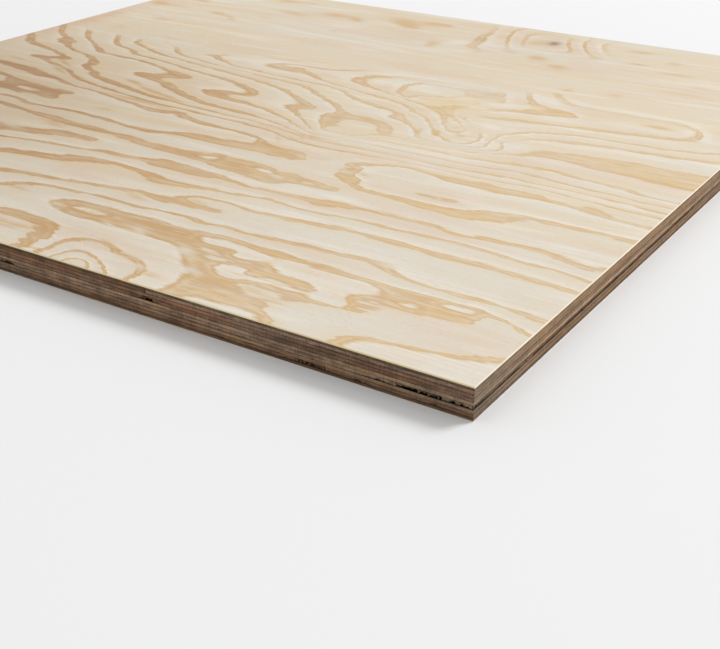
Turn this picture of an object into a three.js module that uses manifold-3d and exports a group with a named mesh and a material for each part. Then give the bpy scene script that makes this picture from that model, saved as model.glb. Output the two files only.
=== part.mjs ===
// A sheet of pine plywood, cut square and lying flat with its face veneer up.
//
// Nine veneers are glued one on the next, each with its grain at right angles to its neighbours'.
// The face, the back and the three core veneers run along X. The four crossbands run along Y, and
// the top one is laid in two sheets that meet at a narrow joint. The saw has opened gaps and torn
// places in the inner veneers, and they show as dark notches along the edges.
//
// Millimetres, +Z up. The origin is the centre of the underside. +X runs along the face grain, to
// the right, and +Y runs from the front edge to the back edge.

import * as THREE from 'three';
import { mergeVertices } from 'three/addons/utils/BufferGeometryUtils.js';
import Module from 'manifold-3d';

const wasm = await Module();
wasm.setup();

// ---- Driving dimensions ----

const sheetLength = 655; // along the face grain
const sheetWidth = 625; // across the face grain
const faceVeneerThickness = 1.8; // the face and the back, sanded
const crossbandThickness = 2.1;
const coreVeneerThickness = 2.0;
const easedArris = 0.5; // the flat sanded on the outer corners of the face and the back

const crossbandJoint = 195; // from the right edge to the joint in the top crossband
const crossbandJointGap = 0.6;

// Gaps in the inner veneers, open at an edge of the sheet. On the front and back edges `from` and
// `to` are distances from the right edge, and on the left and right edges they are distances from
// the front edge. `depth` is how far the gap reaches into the sheet at its deepest.
const gaps = {
  crossband_2: [
    { edge: 'front', from: 191, to: 197, depth: 4, profile: 'torn' },
    { edge: 'back', from: 402, to: 421, depth: 6, profile: 'torn' },
  ],
  core_veneer_1: [{ edge: 'left', from: 468, to: 481, depth: 3, profile: 'torn' }],
  centre_veneer: [{ edge: 'right', from: 371, to: 379, depth: 2.5, profile: 'torn' }],
  crossband_3: [
    { edge: 'front', from: 17, to: 41, depth: 7, profile: 'torn' },
    { edge: 'front', from: 294, to: 304, depth: 3.5, profile: 'torn' },
    { edge: 'right', from: -1, to: 55, depth: 1.4, profile: 'split' },
    { edge: 'right', from: 61, to: 293, depth: 1.4, profile: 'split' },
    { edge: 'back', from: 118, to: 129, depth: 5, profile: 'torn' },
  ],
  crossband_4: [
    { edge: 'front', from: 81, to: 97, depth: 3, profile: 'torn' },
    { edge: 'left', from: 205, to: 338, depth: 1.2, profile: 'split' },
  ],
};

// The inner side of a gap: each pair is a share of its length and a share of its depth.
const gapProfiles = {
  torn: [[0, 0.35], [0.12, 0.8], [0.3, 1], [0.52, 0.82], [0.74, 0.9], [0.9, 0.5], [1, 0.3]],
  split: [[0, 0.85], [0.15, 1], [0.42, 0.9], [0.68, 1], [1, 0.8]],
};

const gapOvercut = 2; // how far a gap's cutter stands out past the edge and past both faces

// ---- Finishes ----

const finishes = {
  faceVeneer: { color: 0xe1d3bb, roughness: 0.62 },
  coreVeneer: { color: 0xa58a6c, roughness: 0.8 },
  crossband: { color: 0x7b6754, roughness: 0.9 },
};

function woodMaterial(finish) {
  return new THREE.MeshStandardMaterial({ ...finishes[finish], metalness: 0 });
}

// ---- The lay-up, from the face down ----

const layUp = [
  { name: 'face_veneer', finish: 'faceVeneer', thickness: faceVeneerThickness, eased: 'top' },
  { name: 'crossband_1', finish: 'crossband', thickness: crossbandThickness, joint: crossbandJoint },
  { name: 'core_veneer_1', finish: 'coreVeneer', thickness: coreVeneerThickness },
  { name: 'crossband_2', finish: 'crossband', thickness: crossbandThickness },
  { name: 'centre_veneer', finish: 'coreVeneer', thickness: coreVeneerThickness },
  { name: 'crossband_3', finish: 'crossband', thickness: crossbandThickness },
  { name: 'core_veneer_2', finish: 'coreVeneer', thickness: coreVeneerThickness },
  { name: 'crossband_4', finish: 'crossband', thickness: crossbandThickness },
  { name: 'back_veneer', finish: 'faceVeneer', thickness: faceVeneerThickness, eased: 'bottom' },
];

// The height of every glue line, the underside and the face, counted up from the floor. Two
// veneers that touch share one of these heights, so they meet exactly.
const glueLines = [0];
for (const veneer of layUp.toReversed()) {
  glueLines.unshift(glueLines[0] + veneer.thickness);
}

// ---- Shapes ----

function closedShape(points) {
  return new THREE.Shape(points.map(([x, y]) => new THREE.Vector2(x, y)));
}

function rectangle(left, right, front, back) {
  return closedShape([[left, front], [right, front], [right, back], [left, back]]);
}

// A flat-sided body with `shape` as its plan, between two exact heights. `middle` is a third height,
// where the walls may turn inwards.
function upright(shape, bottom, top, middle = (bottom + top) / 2) {
  const geometry = new THREE.ExtrudeGeometry(shape, { depth: 2, steps: 2, bevelEnabled: false });
  const heights = [bottom, middle, top];
  const { position } = geometry.attributes;
  for (let i = 0; i < position.count; i += 1) {
    position.setZ(i, heights[Math.round(position.getZ(i))]);
  }
  return geometry;
}

// Sands a narrow flat on the arris at `height` by drawing the outline in there.
function easeArris(geometry, height) {
  const { position } = geometry.attributes;
  const xLimit = sheetLength / 2 - easedArris;
  const yLimit = sheetWidth / 2 - easedArris;
  for (let i = 0; i < position.count; i += 1) {
    if (Math.abs(position.getZ(i) - height) < 1e-4) {
      position.setX(i, THREE.MathUtils.clamp(position.getX(i), -xLimit, xLimit));
      position.setY(i, THREE.MathUtils.clamp(position.getY(i), -yLimit, yLimit));
    }
  }
}

// Turns a distance along an edge and a depth into the sheet into a point of the plan.
function pointFromEdge(edge, distance, depth) {
  const right = sheetLength / 2;
  const front = -sheetWidth / 2;
  return {
    front: [right - distance, front + depth],
    back: [right - distance, -front - depth],
    right: [right - depth, front + distance],
    left: [depth - right, front + distance],
  }[edge];
}

// The plan of what is missing where a gap is: a ragged inner side, closed outside the sheet.
function gapShape({ edge, from, to, depth, profile }) {
  const innerSide = gapProfiles[profile].map(([along, inwards]) =>
    pointFromEdge(edge, from + along * (to - from), inwards * depth));
  return closedShape([
    pointFromEdge(edge, from, -gapOvercut),
    ...innerSide,
    pointFromEdge(edge, to, -gapOvercut),
  ]);
}

// ---- Solids and cuts ----

function toSolid(geometry) {
  const bare = geometry.clone();
  bare.deleteAttribute('normal');
  bare.deleteAttribute('uv');
  const merged = mergeVertices(bare);
  return new wasm.Manifold(new wasm.Mesh({
    numProp: 3,
    vertProperties: new Float32Array(merged.attributes.position.array),
    triVerts: new Uint32Array(merged.index.array),
  }));
}

function toGeometry(solid) {
  const { vertProperties, triVerts } = solid.getMesh();
  const geometry = new THREE.BufferGeometry();
  geometry.setAttribute('position', new THREE.BufferAttribute(vertProperties, 3));
  geometry.setIndex(new THREE.BufferAttribute(triVerts, 1));
  geometry.computeVertexNormals();
  return geometry;
}

function cutGaps(geometry, veneerGaps, bottom, top) {
  let solid = toSolid(geometry);
  for (const gap of veneerGaps) {
    const cutter = upright(gapShape(gap), bottom - gapOvercut, top + gapOvercut);
    solid = solid.subtract(toSolid(cutter));
  }
  return toGeometry(solid);
}

// ---- The sheet ----

// The plans of a veneer's sheets: one over the whole area, or two that meet at a joint.
function veneerSheets({ name, joint }) {
  const [right, back] = [sheetLength / 2, sheetWidth / 2];
  if (joint === undefined) {
    return [{ name, shape: rectangle(-right, right, -back, back) }];
  }
  const jointX = right - joint;
  const halfGap = crossbandJointGap / 2;
  return [
    { name: `${name}_left`, shape: rectangle(-right, jointX - halfGap, -back, back) },
    { name: `${name}_right`, shape: rectangle(jointX + halfGap, right, -back, back) },
  ];
}

function veneerMesh(veneer, { name, shape }, bottom, top) {
  let geometry;
  if (veneer.eased === 'top') {
    geometry = upright(shape, bottom, top, top - easedArris);
    easeArris(geometry, top);
  } else if (veneer.eased === 'bottom') {
    geometry = upright(shape, bottom, top, bottom + easedArris);
    easeArris(geometry, bottom);
  } else {
    geometry = upright(shape, bottom, top);
  }
  if (gaps[name]) {
    geometry = cutGaps(geometry, gaps[name], bottom, top);
  }
  const mesh = new THREE.Mesh(geometry, woodMaterial(veneer.finish));
  mesh.name = name;
  return mesh;
}

const plywoodSheet = new THREE.Group();
layUp.forEach((veneer, i) => {
  for (const sheet of veneerSheets(veneer)) {
    plywoodSheet.add(veneerMesh(veneer, sheet, glueLines[i + 1], glueLines[i]));
  }
});

export default plywoodSheet;
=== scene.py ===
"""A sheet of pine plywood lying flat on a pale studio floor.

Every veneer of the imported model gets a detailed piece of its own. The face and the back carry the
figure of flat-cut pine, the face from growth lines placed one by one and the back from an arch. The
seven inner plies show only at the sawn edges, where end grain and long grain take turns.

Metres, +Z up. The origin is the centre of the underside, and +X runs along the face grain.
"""

import math

import bmesh
import bpy
import numpy as np
from bpy.props import FloatProperty, FloatVectorProperty, PointerProperty
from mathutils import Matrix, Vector, noise


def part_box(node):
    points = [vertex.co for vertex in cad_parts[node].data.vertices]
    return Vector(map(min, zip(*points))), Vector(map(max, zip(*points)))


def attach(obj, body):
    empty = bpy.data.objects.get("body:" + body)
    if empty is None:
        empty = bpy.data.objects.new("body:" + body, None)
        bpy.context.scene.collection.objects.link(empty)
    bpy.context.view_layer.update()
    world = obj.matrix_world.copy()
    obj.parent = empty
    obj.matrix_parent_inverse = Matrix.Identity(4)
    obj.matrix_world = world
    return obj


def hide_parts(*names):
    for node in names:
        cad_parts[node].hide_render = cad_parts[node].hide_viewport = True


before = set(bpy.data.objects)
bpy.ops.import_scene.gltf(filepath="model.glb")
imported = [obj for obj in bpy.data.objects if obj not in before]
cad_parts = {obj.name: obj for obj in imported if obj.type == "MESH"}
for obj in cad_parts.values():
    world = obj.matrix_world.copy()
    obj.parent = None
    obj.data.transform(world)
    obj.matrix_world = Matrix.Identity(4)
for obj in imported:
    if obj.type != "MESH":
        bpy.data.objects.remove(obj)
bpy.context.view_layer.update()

bl_info = {
    "name": "Pine Plywood Sheet",
    "version": (1, 0, 0),
    "blender": (4, 5, 0),
    "location": "3D View > Sidebar > Plywood",
    "description": "Dresses the veneers of a pine plywood sheet and sets it in a studio",
    "category": "Add Mesh",
}

MM = 0.001

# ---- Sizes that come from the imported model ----

SHEET_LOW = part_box("back_veneer")[0]
SHEET_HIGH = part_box("face_veneer")[1]
HALF_LENGTH = SHEET_HIGH.x
HALF_WIDTH = SHEET_HIGH.y
NEAR = 0.05 * MM  # how close counts as lying on an edge or a glue line


def paint(code):
    """The linear colour, with its alpha, of a hex code such as e1d3bb."""
    values = [int(code[i:i + 2], 16) / 255 for i in (0, 2, 4)]
    linear = [v / 12.92 if v <= 0.04045 else ((v + 0.055) / 1.055) ** 2.4 for v in values]
    return (*linear, 1.0)


# ---- The figure of the face ----
#
# A growth ring is numbered by its height in the log. Each line below follows one ring's latewood
# across the face: its ring height, and its points in mm from the centre of the sheet. At 12.88 lies
# the dense latewood just under ring 13, where the next pale earlywood starts sharply.

FACE_LINES = [
    # The front strip.
    (10.88, [(36, -314), (40, -300), (40, -293), (38, -288), (33, -281), (25, -277), (0, -275),
        (-12, -276), (-30, -280)]),
    (10.82, [(-5, -281), (15, -282), (25, -286), (28, -295), (33, -312)]),
    (10.88, [(52, -314), (54, -300), (55, -290), (61, -284), (70, -282), (80, -283), (92, -288),
        (105, -289), (113, -294), (118, -302), (119, -314)]),
    (9.88, [(63, -314), (66, -301), (72, -297), (80, -298), (90, -302), (98, -307), (104, -314)]),
    (8.88, [(71, -314), (76, -306), (82, -305), (88, -308), (93, -314)]),
    (10.88, [(330, -280), (320, -285), (308, -290), (290, -294), (270, -297), (257, -300), (252, -308),
        (251, -314)]),
    (10.88, [(113, -240), (125, -239), (150, -240), (165, -241)]),
    (10.90, [(165, -242), (180, -241), (205, -242), (225, -243), (240, -244)]),
    (10.88, [(240, -244), (255, -244), (270, -243), (290, -242), (297, -245), (297, -252), (294, -258)]),
    (10.86, [(168, -257), (158, -263), (148, -267), (138, -273), (150, -281), (162, -285)]),
    (10.88, [(169, -270), (175, -266), (185, -264), (195, -265), (207, -269)]),
    (11.05, [(172, -273), (185, -272), (200, -274)]),
    (10.88, [(160, -302), (175, -303), (190, -302), (202, -304), (208, -308)]),
    (10.88, [(205, -280), (220, -280), (235, -279), (243, -277)]),
    (10.88, [(120, -252), (130, -252), (142, -251)]),
    (11.04, [(277, -247), (284, -246), (291, -247)]),
    (10.88, [(8, -251), (15, -247), (25, -244), (40, -242), (55, -245), (65, -243), (80, -241),
        (90, -242), (113, -240)]),
    (10.88, [(8, -251), (15, -252), (25, -257), (35, -260), (45, -258), (55, -254), (65, -254),
        (80, -255), (95, -257)]),
    (11.04, [(22, -249), (32, -251), (45, -249)]),
    # The straight lines above it.
    (11.88, [(-65, -257), (-48, -247), (-40, -241), (-30, -236), (-20, -232), (0, -231), (20, -228),
        (50, -229), (70, -227), (90, -226), (105, -228), (120, -225), (138, -227), (160, -224),
        (190, -224), (210, -221), (222, -222), (232, -228), (245, -232), (260, -233), (290, -232),
        (305, -234), (328, -237)]),
    (12.88, [(328, -198), (310, -196), (290, -195), (260, -193), (240, -194), (210, -192), (185, -191),
        (165, -193), (140, -196), (110, -197), (95, -194), (75, -195), (68, -199), (66, -204), (75, -207),
        (97, -208)]),
    (12.88, [(97, -209), (80, -211), (60, -212), (45, -210), (35, -209), (25, -211), (10, -215),
        (-10, -218), (-30, -222), (-50, -224), (-65, -228), (-85, -234)]),
    (13.88, [(328, -182), (320, -181), (305, -178), (290, -178), (265, -175), (250, -174), (225, -174),
        (205, -176), (175, -175), (155, -178), (135, -179), (110, -176), (90, -181), (70, -182),
        (45, -185), (32, -186), (25, -182), (10, -180), (-5, -178), (-25, -178), (-40, -181), (-50, -186),
        (-65, -192), (-85, -196), (-95, -199), (-115, -206)]),
    (14.88, [(328, -164), (318, -166), (305, -165), (295, -160), (280, -159), (255, -160), (240, -163),
        (228, -162), (220, -159), (200, -159), (175, -159), (155, -161), (140, -164), (110, -164),
        (90, -166), (75, -164), (65, -161), (55, -158), (35, -157), (20, -157), (10, -158), (0, -162),
        (-20, -165), (-35, -164), (-50, -168), (-70, -170), (-90, -173), (-115, -178), (-150, -187)]),
    (14.82, [(8, -167), (30, -168), (55, -166)]),
    # The long ridge.
    (15.87, [(-185, -121), (-175, -122), (-150, -127), (-130, -130), (-115, -132), (-100, -134),
        (-80, -134), (-55, -133), (-35, -136), (-20, -139), (0, -138), (15, -137), (25, -131), (38, -128),
        (48, -132), (60, -129), (75, -130), (88, -133)]),
    (15.86, [(20, -142), (35, -144), (55, -147), (75, -150), (98, -151)]),
    (15.86, [(100, -132), (115, -134), (130, -138), (138, -142), (125, -144), (105, -145)]),
    (15.87, [(-135, -167), (-115, -163), (-104, -157), (-97, -150), (-85, -147), (-72, -147),
        (-60, -149)]),
    (15.86, [(-95, -154), (-80, -153), (-66, -152)]),
    (15.84, [(45, -139), (58, -142), (66, -138), (95, -147), (100, -140)]),
    # The loop that points to the right.
    (15.88, [(-205, -107), (-185, -106), (-165, -112), (-140, -111), (-115, -108), (-90, -110),
        (-60, -114), (-40, -115), (-25, -110), (-10, -106), (30, -107), (45, -106), (65, -107),
        (80, -107)]),
    (15.88, [(80, -97), (65, -97), (50, -97), (42, -92), (35, -85), (20, -82), (0, -81), (-25, -79),
        (-40, -76), (-50, -68), (-70, -76), (-80, -74), (-95, -70), (-115, -67), (-140, -62), (-165, -60),
        (-182, -57), (-190, -52), (-205, -50), (-225, -47), (-240, -42), (-255, -40), (-275, -38)]),
    (15.90, [(-10, -103), (20, -101), (45, -101), (65, -102), (85, -103)]),
    # The loop that points to the left.
    (15.88, [(328, -93), (300, -92), (292, -89), (275, -87), (255, -84), (235, -82), (215, -84),
        (195, -86), (175, -82), (155, -80), (140, -84), (128, -90), (120, -97), (122, -107), (125, -115),
        (135, -125), (150, -131), (170, -133), (190, -134), (210, -136), (225, -137), (235, -130),
        (245, -122), (258, -118), (280, -118), (305, -118), (328, -118)]),
    (15.85, [(127, -100), (130, -112), (140, -120)]),
    (15.85, [(232, -124), (250, -127), (245, -132)]),
    # Rings that fall away behind the loops.
    (14.88, [(-328, 47), (-325, 45), (-315, 36), (-305, 25), (-290, 20), (-275, 15), (-262, 12),
        (-250, 7), (-240, 2), (-234, -2), (-244, -4), (-256, -7), (-262, -10), (-250, -13), (-240, -17),
        (-225, -21), (-205, -28), (-190, -38), (-175, -45), (-150, -50), (-120, -55), (-90, -60),
        (-50, -62), (0, -63), (30, -66)]),
    (14.88, [(110, -75), (140, -73), (200, -73), (240, -70), (290, -74), (328, -77)]),
    (13.88, [(-325, 88), (-315, 75), (-305, 63), (-290, 55), (-272, 45), (-283, 44), (-275, 38),
        (-260, 28), (-245, 21), (-228, 17), (-215, 10), (-203, -3), (-205, -8), (-198, -15), (-185, -20),
        (-175, -30), (-165, -33), (-145, -38), (-100, -48), (-60, -52), (-30, -54), (10, -56),
        (35, -60)]),
    (13.88, [(100, -65), (140, -65), (180, -65), (220, -62), (280, -63), (328, -68)]),
    (12.88, [(-290, 85), (-280, 73), (-270, 62), (-255, 52), (-240, 42), (-222, 30), (-205, 29),
        (-180, 28), (-160, 25), (-140, 18), (-125, 13), (-110, 8), (-124, 4), (-136, -1), (-150, -4),
        (-138, -9), (-120, -13), (-105, -20), (-90, -27), (-75, -33), (-55, -40), (-30, -43), (0, -45),
        (25, -50), (45, -57)]),
    (12.88, [(100, -54), (140, -54), (170, -54), (200, -52), (215, -49), (235, -50), (255, -53),
        (300, -56), (328, -58)]),
    (11.88, [(-252, 85), (-245, 75), (-238, 65), (-225, 56), (-210, 52), (-190, 40), (-165, 38),
        (-120, 28), (-75, 20), (-50, 12), (-38, 5), (-35, -5), (-65, -10), (-72, -12), (-60, -20),
        (-40, -22), (-20, -24), (0, -28), (25, -38), (50, -52)]),
    (11.88, [(110, -42), (140, -43), (180, -43), (200, -40), (215, -36), (235, -35), (255, -38),
        (280, -41), (295, -42), (305, -46), (328, -47)]),
    (10.88, [(-220, 72), (-205, 65), (-190, 58), (-172, 52), (-120, 43), (-60, 33), (-40, 28), (-20, 22),
        (0, 10), (15, 2), (27, -5), (10, -12), (22, -22), (40, -36), (58, -50)]),
    (10.88, [(95, -48), (110, -38), (130, -36), (150, -34), (170, -32), (185, -27), (197, -22),
        (207, -17), (217, -11), (228, -8), (245, -8), (270, -10), (300, -11), (328, -11)]),
    (10.83, [(209, -11), (225, -1), (240, 3), (262, 6), (290, 7), (328, 8)]),
    (9.88, [(-178, 78), (-168, 68), (-155, 60), (-100, 50), (-60, 45), (-15, 40), (0, 32), (20, 20),
        (40, 8), (50, -2), (46, -15), (52, -30), (60, -42)]),
    (9.88, [(60, -8), (75, -5), (90, -8), (98, -20), (106, -32)]),
    (9.88, [(112, -31), (125, -31), (145, -30), (165, -28), (180, -24), (188, -18), (187, -10), (184, -2),
        (190, 10), (203, 20), (225, 26), (250, 30), (280, 33), (305, 36), (328, 40)]),
    (8.88, [(-124, 82), (-133, 75), (-120, 66), (-98, 58), (-60, 54), (0, 50), (22, 44), (30, 38),
        (45, 30), (62, 26), (85, 20), (95, 11), (103, 2), (113, -4), (121, -12), (128, -22), (145, -26),
        (162, -25), (174, -19), (176, -10), (175, 0), (175, 12), (182, 23), (193, 32), (207, 38),
        (225, 42), (250, 44), (280, 46), (300, 49), (318, 56), (328, 60)]),
    (7.88, [(-45, 82), (-62, 74), (-35, 75), (-25, 69), (-12, 62), (5, 57), (30, 51), (60, 45), (80, 40),
        (90, 33), (97, 26), (110, 20), (120, 9), (129, -2), (136, -11), (147, -16), (156, -19),
        (163, -17), (167, -9), (165, 2), (158, 12), (147, 22), (137, 31), (131, 38), (140, 43), (158, 47),
        (178, 51), (195, 54), (215, 58), (240, 62), (262, 67), (280, 71), (290, 76), (293, 85), (290, 95),
        (281, 102), (268, 106), (250, 106), (230, 104), (208, 104), (192, 106), (181, 110), (172, 118),
        (165, 127)]),
    (6.88, [(60, 105), (40, 103), (22, 95), (14, 85), (17, 74), (30, 66), (50, 60), (75, 52), (98, 45),
        (112, 38), (121, 30), (127, 20), (133, 10), (140, 2), (147, 4), (145, 14), (136, 24), (124, 36),
        (112, 47), (116, 56), (133, 60), (150, 66), (168, 73), (185, 78), (199, 82), (188, 87), (174, 89),
        (163, 93), (155, 102), (149, 112), (143, 122)]),
    # The knot that the loops bend round.
    (5.93, [(60, 98), (54, 86), (55, 74), (60, 63), (68, 57)]),
    (5.93, [(106, 102), (110, 94), (114, 86)]),
    (5.90, [(127, 108), (133, 97), (140, 86)]),
    # The knot near the back edge.
    (8.88, [(20, 308), (27, 292), (31, 275), (31, 258), (35, 243), (38, 228)]),
    (9.88, [(47, 290), (52, 272), (58, 257), (65, 242), (73, 229)]),
    (10.88, [(64, 288), (69, 268), (75, 250)]),
    (10.88, [(104, 290), (109, 277), (116, 265), (122, 253)]),
    (9.88, [(118, 292), (124, 278), (131, 265), (140, 253), (150, 244)]),
]

# Single points of known ring height between the lines: the pale wood, and the middles of blotches.
FACE_SPOTS = [
    # Front strip.
    (11.15, [(180, -252), (200, -250), (220, -252), (232, -251), (185, -258), (205, -258), (222, -258),
        (216, -268), (218, -274), (230, -276), (212, -263)]),
    (11.13, [(152, -270), (158, -275), (163, -269), (161, -278)]),
    (11.14, [(122, -245), (131, -244), (145, -246), (155, -247), (150, -253), (158, -251)]),
    (11.06, [(165, -309), (180, -309), (195, -309)]),
    (11.03, [(262, -257)]),
    (10.85, [(175, -279), (190, -279), (205, -279), (207, -286), (175, -289), (160, -290), (165, -297),
        (150, -295), (155, -303), (148, -309), (180, -297), (197, -297)]),
    (10.85, [(250, -250), (262, -250), (275, -254), (290, -252), (284, -260), (270, -262), (255, -264),
        (245, -260), (243, -270), (234, -267), (237, -274)]),
    (10.85, [(60, -249), (75, -248), (90, -249), (100, -250), (110, -252), (120, -259), (130, -264),
        (12, -250)]),
    (10.74, [(190, -287)]),
    (10.50, [(304, -252), (301, -262), (286, -271), (268, -276), (252, -284), (320, -262), (300, -280),
        (225, -290), (240, -292), (230, -302), (218, -304), (215, -294), (262, -290), (285, -285),
        (312, -275)]),
    (11.15, [(275, -305), (300, -301), (322, -294), (262, -311), (320, -305), (295, -309)]),
    (11.20, [(95, -266), (108, -272), (114, -280), (126, -288), (130, -300), (129, -309), (75, -268),
        (55, -268), (47, -300), (48, -285), (30, -268), (0, -265), (-10, -253), (-5, -245), (15, -238),
        (60, -236), (-30, -262), (-20, -270)]),
    (10.45, [(90, -294), (108, -303), (60, -296), (112, -311)]),
    (9.45, [(85, -302)]),
    (11.50, [(180, -232), (100, -234), (280, -238), (320, -244)]),
    (12.48, [(100, -203), (120, -204), (120, -214), (150, -210), (200, -207), (250, -207), (300, -210),
        (95, -217), (70, -218), (30, -222), (84, -201)]),
    (13.45, [(60, -196), (30, -200), (0, -203), (80, -189)]),
    (14.80, [(142, -169)]),
    # Folds of the rings behind the loops.
    (13.20, [(-146, 7), (-155, 3), (-160, -4), (-156, -12), (-142, -16), (-125, -19)]),
    (12.55, [(-106, 0), (-112, -4), (-100, -9), (-98, 4)]),
    (11.55, [(-30, -8), (-36, -13), (-24, -14), (-24, -2)]),
    (12.18, [(-58, -26), (-40, -27), (-20, -29), (-76, -8), (-80, -14)]),
    (8.45, [(-121, 81), (-112, 76), (-130, 84)]),
    (7.50, [(-52, 85), (-38, 83), (-28, 80)]),
    (9.52, [(76, -23), (84, -25), (80, -31), (73, -37), (88, -35), (80, -19)]),
    (9.86, [(96, -20), (100, -26)]),
    # Ridge.
    (16.05, [(33, -134), (77, -139), (83, -138)]),
    (15.45, [(-100, -140), (-80, -141), (-60, -142), (-40, -144), (-25, -146), (-140, -148), (-125, -150),
        (-160, -140)]),
    (15.40, [(-40, -153), (-20, -152), (10, -149), (110, -152), (110, -127), (130, -132)]),
    (15.40, [(100, -97), (103, -106), (104, -116), (-60, -122), (-30, -123), (0, -122), (40, -120),
        (75, -120), (-100, -121), (145, -143), (170, -146), (200, -147), (240, -147), (-140, -119)]),
    (15.35, [(110, -84), (95, -88)]),
    # Inside the loops.
    (16.45, [(-150, -84), (-130, -80), (-120, -100), (-80, -95), (-40, -95), (-20, -93), (-60, -85),
        (0, -91), (25, -91), (145, -97), (170, -93), (200, -98), (240, -98), (280, -102), (310, -105),
        (140, -110), (155, -120), (200, -126), (225, -110)]),
    (16.82, [(184, -119), (197, -119), (210, -118)]),
    (16.45, [(-242, -56), (-232, -59), (-220, -62)]),
    (17.12, [(-236, -73), (-231, -77)]),
    (16.82, [(-235, -66), (-222, -74), (-210, -80), (-205, -90), (-180, -92), (-165, -85), (-158, -76),
        (-175, -76), (-190, -75), (-210, -72)]),
    (17.04, [(-203, -83), (-195, -84), (-187, -85)]),
    (5.55, [(75, 70), (90, 75), (75, 90), (95, 90)]),
    (6.45, [(40, 82), (42, 72), (95, 58), (120, 76), (44, 92), (84, 62), (150, 80), (140, 74),
        (148, 92)]),
    (6.20, [(138, 14), (141, 9)]),
    (8.30, [(168, 20), (165, 30), (158, 34), (180, 38), (200, 48)]),
    (7.40, [(215, 85), (235, 90), (250, 82), (262, 88), (205, 95), (275, 92)]),
    (15.45, [(-175, -117), (-190, -116), (-160, -119)]),
    (16.84, [(-225, -85), (-215, -92), (-195, -94), (-170, -90), (-160, -88), (-165, -78), (-185, -77)]),
    # The pale wood behind.
    (8.45, [(300, 105), (320, 100), (310, 115), (285, 116), (265, 119), (245, 120), (308, 88), (300, 100),
        (-140, 90), (-125, 97), (-150, 80), (-60, 130), (0, 135), (60, 138), (120, 140), (180, 135),
        (240, 135), (300, 125), (-100, 160), (-30, 165), (50, 175), (130, 175), (210, 165), (300, 165),
        (-160, 190), (-80, 195), (0, 190), (90, 205), (180, 195), (260, 195), (-240, 225), (-160, 225),
        (-80, 230), (-20, 235), (90, 222), (170, 225), (230, 240), (-200, 262), (-110, 280), (-50, 260),
        (-5, 260), (-80, 305), (0, 300), (175, 260), (200, 290), (240, 290), (150, 300), (290, 240),
        (-150, 120), (300, 300), (-300, 300), (-250, 280)]),
    (8.20, [(-105, 92), (-72, 97), (-40, 103), (-10, 106)]),
    (8.12, [(-90, 80), (-75, 86), (-55, 91), (-30, 93)]),
    (10.22, [(225, 12), (255, 18), (290, 20), (320, 24)]),
    (6.80, [(185, 83), (177, 83), (168, 83)]),
    (10.45, [(10, -290), (20, -296), (25, -306), (0, -286), (12, -304)]),
    (11.15, [(46, -290), (45, -280), (43, -299), (30, -265), (18, -263), (42, -263), (2, -259)]),
    (11.08, [(150, -245), (185, -246), (210, -247), (228, -248)]),
    (11.18, [(150, -236), (185, -237), (215, -238), (245, -240), (285, -239)]),
    (13.45, [(-50, -199), (-30, -194), (-10, -191), (5, -190), (-70, -203)]),
    (15.40, [(-245, -28), (-225, -31), (-262, -30)]),
    (15.96, [(-262, -45), (-245, -47), (-228, -50), (-212, -54)]),
    (15.82, [(-262, -40), (-245, -41), (-228, -43)]),
    (14.55, [(-234, -10), (-226, -14), (-222, -8)]),
    (15.20, [(-262, 1), (-270, 5), (-255, -1), (-262, -16), (-250, -19)]),
    (15.15, [(-275, -8), (-280, -20), (-265, -17), (-295, 5)]),
    (15.45, [(-160, -131), (-145, -134), (-125, -138), (-180, -129), (-110, -142)]),
    (16.45, [(165, -107), (180, -110), (195, -111), (215, -111), (225, -116), (165, -119), (180, -125),
        (205, -124), (218, -122)]),
    (15.95, [(190, -89), (208, -89), (225, -90), (242, -88), (180, -129), (200, -129), (218, -129),
        (287, -91)]),
    (15.80, [(190, -80), (208, -79), (225, -79), (242, -79), (180, -136), (200, -139), (222, -141),
        (290, -82)]),
    (9.82, [(58, -14), (61, -24), (64, -34)]),
    (8.95, [(87, 10), (93, 4)]),
    (10.35, [(62, 305), (90, 306), (108, 306), (78, 238), (105, 240)]),
    (11.35, [(85, 272), (97, 272), (85, 290), (97, 292), (95, 256), (88, 262)]),
]

# Soft patches, each as x, y, half length, half width, turn and strength, in mm and degrees.

# Where the face's growth lines are darker or fainter, and where their latewood is wider or narrower.
STRONG_LINES = [
    (-235, 10, 165, 140, 0, 0.3), (-60, -110, 130, 46, 0, 0.25), (60, -270, 120, 60, 0, 0.2),
    (60, 30, 200, 80, 0, -0.22), (-222, -22, 20, 8, -20, -0.6), (-100, 50, 60, 14, -8, -0.4),
    (131, 68, 9, 26, 0, -0.7), (96, 86, 22, 16, 0, -0.4), (150, -58, 55, 26, 0, -0.35),
    (80, -50, 40, 20, 0, -0.4), (-90, -25, 90, 50, 0, 0.2), (155, 22, 14, 13, 40, -0.9),
    (130, 44, 12, 8, 0, -0.5), (225, 106, 44, 8, 0, -0.4), (148, -29, 26, 4, 0, -0.5),
    (128, -18, 5, 5, 0, -0.3), (190, 8, 10, 9, 40, -0.5), (174, 116, 12, 10, -45, -0.35),
    (270, 100, 30, 8, 0, -0.15), (48, 266, 26, 46, -14, 0.9), (122, 272, 22, 32, 20, 0.85),
    (120, -265, 9, 4, -25, -0.9), (139, -283, 8, 3, -15, -0.9), (79, -257, 8, 3, -25, -0.9),
    (112, -295, 7, 3, -10, -0.8), (92, -141, 9, 2.5, -15, -0.8), (-97, -20, 12, 3, -12, -0.6),
    (8, -252, 10, 3, -15, -0.6), (-128, -160, 16, 4, -12, -0.5), (168, 85, 9, 5, 0, -0.7),
    (123, -110, 8, 3, -10, -0.6), (84, -100, 8, 3, -10, -0.5), (-65, 79, 14, 4, 8, -0.6),
    (55, -258, 8, 3, -25, -0.6), (226, -221, 10, 3, -12, -0.6), (-184, -20, 12, 4, -10, -0.5),
    (-40, -191, 70, 10, 5, 0.3),
]
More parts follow.
